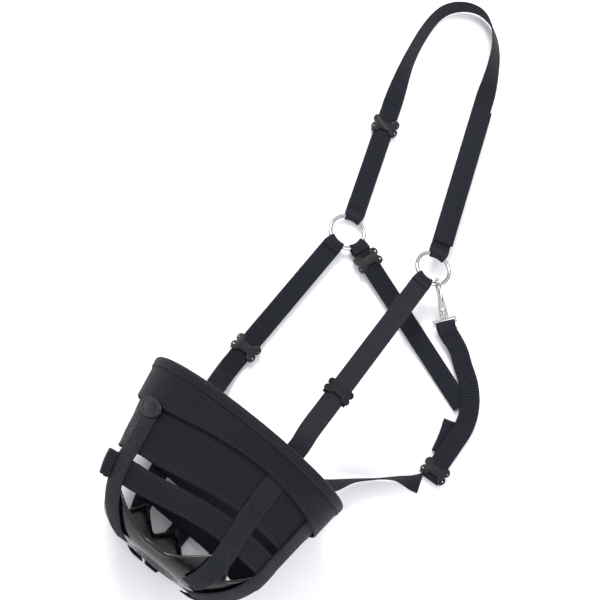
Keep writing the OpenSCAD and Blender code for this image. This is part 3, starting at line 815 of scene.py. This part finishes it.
def make_base():
    """Moulded base: a thick rolled lip, arms under the straps, and a floor with a feed hole."""
    turns = 220
    lip_r = 3.4
    rows = []
    for f in np.linspace(0, 1, 16):
        rows.append(("wall", f, -GAP))
    for a in (44, 38, 33, 31.5, 30, 28.5, 27, 24):
        rows.append(("floor", a, -GAP + (1.5 if 28 < a < 32 else 0)))
    for a, o in ((20, -GAP), (18.2, -GAP - 0.4), (HOLE_W, -GAP - 1.7), (18.2, -GAP - 3.0),
                 (20, -GAP - RUBBER_T)):
        rows.append(("floor", a, o))
    for a in (28, 38, 44):
        rows.append(("floor", a, -GAP - RUBBER_T))
    for f in np.linspace(1, 0, 16):
        rows.append(("wall", f, -GAP - RUBBER_T))
    for a in np.linspace(-90, 90, 11)[1:-1]:
        rows.append(("lip", a, 0))
    rows.append(rows[0])

    def at(i, j):
        t = 360.0 * (j % turns) / turns
        up = arm(t)
        lip = LIP_LOW - (LIP_LIFT + SIDE_LIFT * risen(t)) * up + 2.5
        out = np.zeros((len(i), 3))
        for index, (kind, a, o) in enumerate(rows):
            pick = i == index
            tt, ll, uu = t[pick], lip[pick], up[pick]
            if kind == "wall":
                bead = np.exp(-((a * (90 - ll)) / 2.2) ** 2)
                deep = o - 1.2 * bead if o < -GAP else o + 0.9 * bead * np.clip(1 - 6 * uu, 0, 1)
                out[pick] = wall(depth_at(ll + (90 - ll) * a), tt, deep)
            elif kind == "floor":
                out[pick] = floor_point(a, tt, o)
            else:
                side = math.sin(math.radians(a))
                swell = np.where(side > 0, 0.9 * np.clip(1 - 6 * uu, 0, 1), 1.2)
                off = -GAP - RUBBER_T / 2 + side * (RUBBER_T / 2 + swell)
                out[pick] = wall(depth_at(ll - lip_r / 1.27 * math.cos(math.radians(a))), tt, off)
        return out

    n = len(rows) - 1
    piece = grid("moulded_base", n, turns, at, np.arange(n + 1.0), np.arange(turns + 1.0))
    edit(merge, face_out)
    modify(piece, "SUBSURF", levels=1, render_levels=1)
    finish(piece, "halter", "base_rubber", RUBBER, "rubber_base", angle=60)


def make_patch():
    """A plain oval badge with a raised rim."""
    s0, t0, wide, high = COLLAR_H + 9, STRAP_T[0], 33.0, 22.0
    profile = np.array([(0, 1.15), (0.25, 1.15), (0.5, 1.1), (0.72, 1.0), (0.78, 1.05), (0.83, 1.5),
                        (0.89, 1.65), (0.95, 1.5), (0.99, 1.0), (1.0, 0.5), (0.97, 0.1), (0.6, 0.05),
                        (0, 0.05)])
    turns = 64
    k = mm_angle(np.float64(s0), t0)

    def at(i, j):
        a = 2 * math.pi * (j % turns) / turns
        r, z = profile[i, 0], profile[i, 1]
        s = s0 + high / 2 * r * np.sin(a)
        seat = np.maximum(STRAP_OFF + WEB_T + 0.4, BINDING_OFF + 0.2 - 0.2 * np.maximum(0, s - s0 + 3.5))
        return wall(s, t0 + wide / 2 * r * np.cos(a) * k, seat + z)

    n = len(profile) - 1
    piece = grid("oval_patch", n, turns, at, np.arange(n + 1.0), np.arange(turns + 1.0))
    edit(merge, face_out)
    modify(piece, "SUBSURF", levels=1, render_levels=1)
    finish(piece, "halter", "patch_rubber", PATCH, "front_patch", angle=60)


def make_band_tab():
    """The lower band's end, which is turned back on itself and sewn; here one sewn layer arched out past the
    front strap.
    """
    mid, t0 = LOWER_TOP + LOWER_H / 2, STRAP_T[0] - 5
    long = 16 / float(mm_angle(np.float64(mid), t0 - 8))

    def place(x, y, z):
        rise = 5 * np.sin(np.pi * y / long)
        return wall(mid + x, t0 - 16 * y / long, STRAP_OFF + WEB_T + GAP + BAND_T / 2 + rise + z)

    piece = strip("band_tab_cloth", place, LOWER_H - 2, BAND_T, long, 1.2, across=14)
    finish(piece, "halter", "band_cloth", CLOTH, "band_end_tab")
    sew(place, box_of(10.5, 3, 9), BAND_T / 2)


# ---------- the halter's webbing ----------

LEAN_DIR = np.array([0, -0.3, 0.954])


def catmull(p0, p1, p2, p3, u):
    return 0.5 * (2 * p1 + (p2 - p0) * u + (2 * p0 - 5 * p1 + 4 * p2 - p3) * u ** 2
                  + (3 * p1 - p0 - 3 * p2 + p3) * u ** 3)


class Run:
    """Webbing along stations [x, y, z, lean]: lean 0 lies flat, 90 stands on its edge."""

    def __init__(self, stations, steps=4):
        st = np.array(stations, float)
        ends = np.vstack([2 * st[0] - st[1], st, 2 * st[-1] - st[-2]])
        path = [catmull(*ends[i:i + 4], j / steps) for i in range(len(st) - 1) for j in range(steps)]
        path = np.array(path + [st[-1]])
        c = path[:, :3]
        ahead = np.vstack([c[1:], c[-1:]])
        behind = np.vstack([c[:1], c[:-1]])
        h = unit(ahead - behind)
        left = unit(np.stack([-h[:, 1], h[:, 0], 0 * h[:, 0]], -1))
        lean = np.radians(path[:, 3:4])
        w = np.cos(lean) * left + np.sin(lean) * LEAN_DIR
        w = unit(w - (w * h).sum(1, keepdims=True) * h)
        run = np.concatenate([[0], np.cumsum(np.linalg.norm(np.diff(c, axis=0), axis=1))])
        self.long = run[-1]
        self.y = np.linspace(0, self.long, max(8, int(self.long)))
        self.c = self.soft(self.sample(run, c))
        self.w = unit(self.soft(self.sample(run, w)))
        self.n = np.cross(unit(np.gradient(self.c, axis=0)), self.w)

    def sample(self, run, values):
        return np.stack([np.interp(self.y, run, values[:, k]) for k in range(3)], -1)

    def soft(self, values, reach=4):
        """Evens out the corners between stations. Its ends stay put."""
        padded = np.vstack([2 * values[0] - values[reach:0:-1], values,
                            2 * values[-1] - values[-2:-reach - 2:-1]])
        kernel = np.ones(2 * reach + 1) / (2 * reach + 1)
        return np.stack([np.convolve(padded[:, k], kernel, "valid") for k in range(3)], -1)

    def __call__(self, x, y, z):
        c, w, n = (np.stack([np.interp(y, self.y, v[:, k]) for k in range(3)], -1)
                   for v in (self.c, self.w, self.n))
        return c + np.asarray(x)[..., None] * w + np.asarray(z)[..., None] * n


def ring_centre(node):
    lo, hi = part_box(node)
    return np.array((lo + hi) / 2) / MM - FOOT


RING_R, WIRE_R, LOOP_GAP = 22.2, 2.7, 0.4
NEAR, FAR = ring_centre("near_ring"), ring_centre("far_ring")
NEAR_TILT, FAR_TILT = math.radians(-15), math.radians(-6)
LOOP_OUT = WIRE_R + LOOP_GAP + WEB_T


def on_ring(c, tilt, r, phi, h=0.0):
    x, y = r * np.cos(np.radians(phi)), r * np.sin(np.radians(phi))
    return c + np.stack(np.broadcast_arrays(x, y * math.cos(tilt) - h * math.sin(tilt),
                                            y * math.sin(tilt) + h * math.cos(tilt)), -1)


def at_ring(c, tilt, phi):
    return on_ring(c, tilt, RING_R + LOOP_OUT + 0.4, phi)


def tail(k, s, lean):
    return [*wall(s, STRAP_T[k], TAIL_OFF + WEB_T / 2), lean]


def straight(a, b, count, lean):
    return [[*(a + (b - a) * u), lean] for u in np.linspace(0, 1, count)]


NEAR_CHEEK, FAR_CHEEK, FAR_CROWN, NEAR_CROWN, THROAT, SNAP = -93, -98, 104, 104, -16, -42
near_cheek_end = at_ring(NEAR, NEAR_TILT, NEAR_CHEEK)
near_cheek_start = np.array(tail(1, -26, 0)[:3]) + (-2, 6, -6)
far_cheek_end = at_ring(FAR, FAR_TILT, FAR_CHEEK)
far_cheek_start = np.array([far_cheek_end[0] - 3, 70, 6])
far_crown_end = at_ring(FAR, FAR_TILT, FAR_CROWN)
near_crown_end = at_ring(NEAR, NEAR_TILT, NEAR_CROWN)
crown_slide_c = np.array([-108.5, 459, 5.5])
crown_turn = crown_slide_c + 30 * unit(crown_slide_c - far_crown_end)
CROWN_TOP = [[-139, 552, 9.5, 48], [-148, 604, 11.5, 58], [-146, 640, 13, 64], [-130, 664, 14, 72],
             [-106, 675, 14.5, 84], [-81, 667, 14.5, 104], [-60, 645, 13, 126], [-43, 613, 9, 150]]
closure_top = np.array([-29, 578, 4.2])
throat_start = at_ring(FAR, FAR_TILT, THROAT)
throat_end = np.array([187, 227, 3.4])
snap_c = on_ring(NEAR, NEAR_TILT, RING_R, SNAP)
eye_c = np.array([103.5, 297, 17])
snap_len = float(np.linalg.norm(eye_c - snap_c))
snap_x = unit(eye_c - snap_c)
snap_y = unit(np.array([-snap_x[1], snap_x[0], 0]))
snap_z = np.cross(snap_x, snap_y)
EYE_GAP = 5.8


def in_snap(x, y, z):
    return snap_c + x * snap_x + y * snap_y + z * snap_z


strap_z = throat_end[2] + WEB_T + GAP + 0.6
link_z = throat_end[2] - 0.4

RUNS = {
    "near_cheek_strap": Run([tail(1, COLLAR_H - 8, 14), tail(1, 8, 14), tail(1, -12, 12)]
                            + [[*p[:3], 6 if i == 0 else 0] for i, p in
                               enumerate(straight(near_cheek_start, near_cheek_end, 9, 0))], 2),
    "far_cheek_strap": Run([tail(5, COLLAR_H - 8, 22), tail(5, 8, 22), tail(5, -14, 18)]
                           + straight(far_cheek_start, far_cheek_end, 9, 0), 2),
    "crown_strap": Run(straight(far_crown_end, crown_turn, 5, 0)
                       + [[*(crown_turn + 0.04 * (crown_turn - far_crown_end)), 0]] + CROWN_TOP
                       + [[*(closure_top - 0.04 * (near_crown_end - closure_top)), 180]]
                       + straight(closure_top, near_crown_end, 9, 180), 3),
    "throat_strap": Run(straight(throat_start, throat_end, 11, 0), 1),
    "snap_strap": Run([[*in_snap(snap_len + 11.6, 0, -0.2), 0], [140, 280, 11, 0], [157, 269, strap_z + 1, 0],
                       [177, 255, strap_z, 0], [194, 234, strap_z, 0], [204, 208, strap_z, 0],
                       [206, 180, strap_z, 0], [207, 152, strap_z, 0], [208.5, 124, strap_z, 0]], 4),
    "chin_link_strap": Run([[190, 204, link_z, 0], [196, 186, link_z, 0], [199.4, 171, link_z, 0],
                            [201.6, 160, link_z, 0]], 4),
    "chin_strap": Run([tail(3, COLLAR_H - 8, -45), tail(3, 8, -45), tail(3, -10, -50), [118, 36, 32, -66],
                       [132, 56, 20, -84], [154, 78, 14.8, -92], [174, 96, 14.2, -102], [190, 106, 11, -125],
                       [202, 113, 6.2, -158]], 4),
}
CLOSURE = Run(straight(closure_top, near_crown_end, 9, 180), 2)


def make_halter_webbing():
    for name, run in RUNS.items():
        piece = strip(name + "_webbing", run, WEB_W, WEB_T, run.long, 0.55, ribs=0.5)
        finish(piece, "halter", "webbing", WEBBING, name)


PAD_T = 0.9
FLAP_FROM, FLAP_TO = 14.0, CLOSURE.long - 12
PAD_RAISE = WEB_T / 2 + PAD_T / 2 + 0.05
HOOK_RAISE = PAD_RAISE + PAD_T + 0.3
FLAP_RAISE = HOOK_RAISE + PAD_T / 2 + 0.05 + WEB_T / 2
CLOSURE_DIR = unit(near_crown_end - closure_top)
FLAP_SHIFT = 1.5 * unit(np.array([-CLOSURE_DIR[1], CLOSURE_DIR[0], 0]))


def raised(y0, raise_by, shift=0.0):
    def place(x, y, z):
        return CLOSURE(-x, y0 + y, -(raise_by + z)) + shift
    return place


def make_closure():
    long = FLAP_TO - FLAP_FROM
    for name, raise_by, pad_long, body, shift in (
            ("loop_pad", PAD_RAISE, long - 34, "halter", 0.0),
            ("hook_pad", HOOK_RAISE, long - 38, "closure_flap", FLAP_SHIFT)):
        place = raised(FLAP_FROM + 4, raise_by, shift)
        piece = strip(name + "_tape", place, WEB_W - 3, PAD_T, pad_long, 1.0, across=20)
        finish(piece, body, "hook_and_loop", HOOK_LOOP, name)
    flap = raised(FLAP_FROM, FLAP_RAISE, FLAP_SHIFT)
    piece = strip("closure_flap_webbing", flap, WEB_W, WEB_T, long, 0.55, ribs=0.5)
    finish(piece, "closure_flap", "webbing", WEBBING, "closure_flap")
    z = WEB_T / 2 + 0.1
    for path in cross_box(9.6, 6, 24):
        sew(flap, path, z, "closure_flap")
    for x in (-9.6, 9.6):
        sew(flap, [(x, 28), (x, long - 24)], z, "closure_flap")
    sew(flap, box_of(9.6, long - 20, long - 5), z, "closure_flap")


def turned_end(name, run, at_start, centre, out, up, tail_long, lap, node, body="halter"):
    """Webbing turned round a wire and sewn back on itself. centre and out are functions of x, the wire's
    middle and the direction towards the strap, and up is the direction up."""
    sec = section(WEB_W, WEB_T, 8)
    n = len(sec) - 1
    radius = WIRE_R + LOOP_GAP + WEB_T / 2 if node != "snap_strap_loop" else 1.5 + GAP + WEB_T / 2
    lift = WEB_T + 0.15
    y_end = 0.0 if at_start else run.long
    y_sign = 1.0 if at_start else -1.0
    mid_n = run(0.0, y_end, 1.0) - run(0.0, y_end, 0.0)
    side = 1.0 if float(mid_n @ up) > 0 else -1.0
    x_dir = run(1.0, y_end, 0.0) - run(0.0, y_end, 0.0)
    flip = 1.0 if float(x_dir @ (centre(1.0) - centre(-1.0))) > 0 else -1.0

    def line(x):
        points = [run(x, y_end + y_sign * d, -side * lift) for d in np.linspace(tail_long, 1.5, 12)]
        for a in np.linspace(-60, -300, 25):
            a = math.radians(a)
            turn = math.cos(a) * out(flip * x) + math.sin(a) * up
            points.append(centre(flip * x) + radius * turn)
        points += [run(x, y_end + y_sign * d, side * lift) for d in np.linspace(1.5, lap, 6)]
        return np.array(points)

    middle = line(0.0)
    length = np.linalg.norm(np.diff(middle, axis=0), axis=1)
    run_y = np.concatenate([[0], np.cumsum(length)])
    m = int(run_y[-1] / 0.55)
    along = np.linspace(0, run_y[-1], m + 1)
    kernel = np.ones(7) / 7
    made = []
    for x, z in sec:
        points = line(x)
        fine = np.stack([np.interp(along, run_y, points[:, k]) for k in range(3)], -1)
        mid = fine.copy()
        for k in range(3):
            mid[3:-3, k] = np.convolve(fine[:, k], kernel, "valid")
        d = unit(np.gradient(mid, axis=0))
        across = run(x + 0.5, y_end, 0.0) - run(x - 0.5, y_end, 0.0)
        normal = unit(np.cross(d, unit(across)))
        rib = 0.3 * (np.abs(np.sin(math.pi * along / RIB)) - 0.6) * (1 if abs(x) < WEB_W / 2 - 1.2 else 0)
        made.append(mid + normal * (z + np.sign(z) * rib)[:, None])
    made = np.array(made)
    girth = np.concatenate([[0], np.cumsum(np.hypot(*np.diff(sec, axis=0).T))])
    piece = grid(name, n, m, lambda i, j: made[i, j], girth, along)
    edit(merge, cap_ends, face_out)
    finish(piece, body, "webbing", WEBBING, node)


def on_wire(c, tilt, phi):
    """Centre, out and up of a ring's wire at x along it from phi."""
    turn = 0.86 * 180 / math.pi / RING_R

    def centre(x):
        return on_ring(c, tilt, RING_R, phi + x * turn)

    def out(x):
        return unit(centre(x) - c)

    return centre, out, np.array([0, -math.sin(tilt), math.cos(tilt)])


def make_turned_ends():
    for node, run, start, wire, tail_long, lap in (
            ("near_cheek_loop", "near_cheek_strap", False, on_wire(NEAR, NEAR_TILT, NEAR_CHEEK), 20, 7),
            ("far_cheek_loop", "far_cheek_strap", False, on_wire(FAR, FAR_TILT, FAR_CHEEK), 20, 7),
            ("far_crown_loop", "crown_strap", True, on_wire(FAR, FAR_TILT, FAR_CROWN), 20, 7),
            ("near_crown_loop", "crown_strap", False, on_wire(NEAR, NEAR_TILT, NEAR_CROWN), 9, 5),
            ("throat_loop", "throat_strap", True, on_wire(FAR, FAR_TILT, THROAT), 3.6, 3)):
        turned_end(node + "_webbing", RUNS[run], start, *wire, tail_long, lap, node)
    bar = (lambda x: in_snap(snap_len - 1 + EYE_GAP, x, 0), lambda x: snap_x, snap_z)
    turned_end("snap_strap_loop_webbing", RUNS["snap_strap"], True, *bar, 16, 6, "snap_strap_loop")


def sew_halter():
    z = WEB_T / 2 + 0.12
    for name, y0, y1 in (("near_cheek_strap", -26, -9), ("far_cheek_strap", -26, -9), ("crown_strap", 9, 26),
                         ("snap_strap", 8, 22), ("snap_strap", -22, -6)):
        run = RUNS[name]
        if y0 < 0:
            y0, y1 = run.long + y0, run.long + y1
        for path in cross_box(9.6, y0, y1):
            sew(run, path, z)


# ---------- rings, slides and snap ----------


def make_rings():
    """A nickel-plated ring with the slight swelling of its weld."""
    for name, c, tilt in (("near_ring", NEAR, NEAR_TILT), ("far_ring", FAR, FAR_TILT)):
        bpy.ops.object.select_all(action="DESELECT")
        bpy.ops.mesh.primitive_torus_add(major_segments=160, minor_segments=32, major_radius=RING_R * MM,
                                         minor_radius=WIRE_R * MM)
        piece = bpy.context.object
        piece.name = piece.data.name = name + "_plated"
        for v in piece.data.vertices:
            a = math.degrees(math.atan2(v.co.y, v.co.x))
            core = Vector((v.co.x, v.co.y, 0)).normalized() * RING_R * MM
            seam = math.exp(-((a - 28) / 2.6) ** 2)
            v.co = core + (v.co - core) * (1 - 0.035 + 0.035 * seam)
        place = Matrix.Translation(Vector(set_down(c))) @ Matrix.Rotation(tilt, 4, "X")
        piece.data.transform(place)
        finish(piece, name, "ring_steel", RING_NICKEL, name, angle=60)


SHARP = math.radians(40)


def make_slides():
    for name in ("near_cheek_slide", "far_cheek_slide", "crown_slide", "throat_slide", "chin_slide"):
        piece = copy_of(name, name + "_moulded")
        modify(piece, "BEVEL", width=0.55 * MM, segments=3, limit_method="ANGLE", angle_limit=SHARP)
        finish(piece, name, "slide_plastic", ACETAL, name, angle=40)


def make_snap():
    for node, name, rides, passes in (("snap_body", "snap_casting", "snap", 5),
                                      ("snap_eye", "snap_eye_casting", "halter", 4)):
        piece = copy_of(node, name)
        modify(piece, "REMESH", mode="VOXEL", voxel_size=0.36 * MM, use_smooth_shade=True)
        modify(piece, "SMOOTH", factor=0.5, iterations=passes)
        finish(piece, rides, "snap_steel", CAST_NICKEL, node, angle=70)
    for node, rides, bevel in (("swivel_post", "halter", 0.25), ("gate_pin", "snap", 0.15),
                               ("gate_spring", "snap", 0.08), ("snap_gate", "gate", 0.25)):
        piece = copy_of(node, node + "_plated")
        modify(piece, "BEVEL", width=bevel * MM, segments=2, limit_method="ANGLE", angle_limit=SHARP)
        finish(piece, rides, "snap_steel", RING_NICKEL, node, angle=40)


# ---------- table, light and camera ----------


def make_table():
    bpy.ops.object.select_all(action="DESELECT")
    bpy.ops.mesh.primitive_plane_add(size=6.0, location=(0, 0, -0.0002))
    table = bpy.context.object
    table.name = "table_top"
    card = material("white_card", roughness=0.9, base_color=linear(0xF4F4F5), specular_ior_level=0.1)[0]
    table.data.materials.append(card)


def area_light(name, where, size, power, tint):
    bpy.ops.object.light_add(type="AREA", location=where)
    lamp = bpy.context.object
    lamp.name = name
    lamp.data.shape = "DISK"
    lamp.data.size, lamp.data.energy, lamp.data.color = size, power, tint
    lamp.rotation_euler = (-Vector(where)).to_track_quat("-Z", "Y").to_euler()


def make_light():
    world = bpy.data.worlds.new("studio")
    bpy.context.scene.world = world
    world.use_nodes = True
    tree = world.node_tree
    # A pale ceiling and skirting with a darker band of wall between them, so that bright metal has dark
    # lines beside its highlights
    up = add(tree, "SeparateXYZ", {0: add(tree, "TexCoord").outputs["Generated"]}).outputs["Z"]
    sky = ramp(tree, up, [(0.05, 0xE6E8EC), (0.12, 0x44464C), (0.26, 0x55585F), (0.5, 0xF2F4F8)])
    tree.links.new(sky, tree.nodes["Background"].inputs["Color"])
    tree.nodes["Background"].inputs["Strength"].default_value = 1.3
    area_light("key", (-1.4, 0.9, 2.2), 1.2, 60, (1.0, 0.99, 0.98))
    area_light("fill", (1.8, -1.2, 1.8), 1.6, 30, (0.97, 0.98, 1.0))


def make_camera():
    """Looks down from the basket's side, 21 degrees from upright, turned so that the halter points up."""
    lo, hi = cad_box
    middle = (lo + hi) / 2
    aim = Vector((middle.x - 0.087, middle.y - 0.0546, 0.0302))
    tilt, roll, far = math.radians(21), math.radians(39.2), 2.2
    back = Vector((0, -math.sin(tilt), math.cos(tilt)))
    flat, rise = Vector((1, 0, 0)), Vector((0, math.cos(tilt), math.sin(tilt)))
    right = math.cos(roll) * flat + math.sin(roll) * rise
    up = math.cos(roll) * rise - math.sin(roll) * flat
    turn = Matrix((right, up, back)).transposed().to_4x4()
    data = bpy.data.cameras.new("camera")
    camera = bpy.data.objects.new("camera", data)
    bpy.context.scene.collection.objects.link(camera)
    camera.matrix_world = Matrix.Translation(aim + back * far) @ turn
    data.lens, data.sensor_width = 108.2, 36.0
    bpy.context.scene.camera = camera


bpy.context.scene.view_settings.view_transform = "Standard"
make_camera()
make_table()
make_light()
make_bands()
make_uprights()
make_collar()
make_binding()
make_base()
make_patch()
make_band_tab()
make_halter_webbing()
make_closure()
make_turned_ends()
sew_halter()
make_stitches()
make_rings()
make_slides()
make_snap()
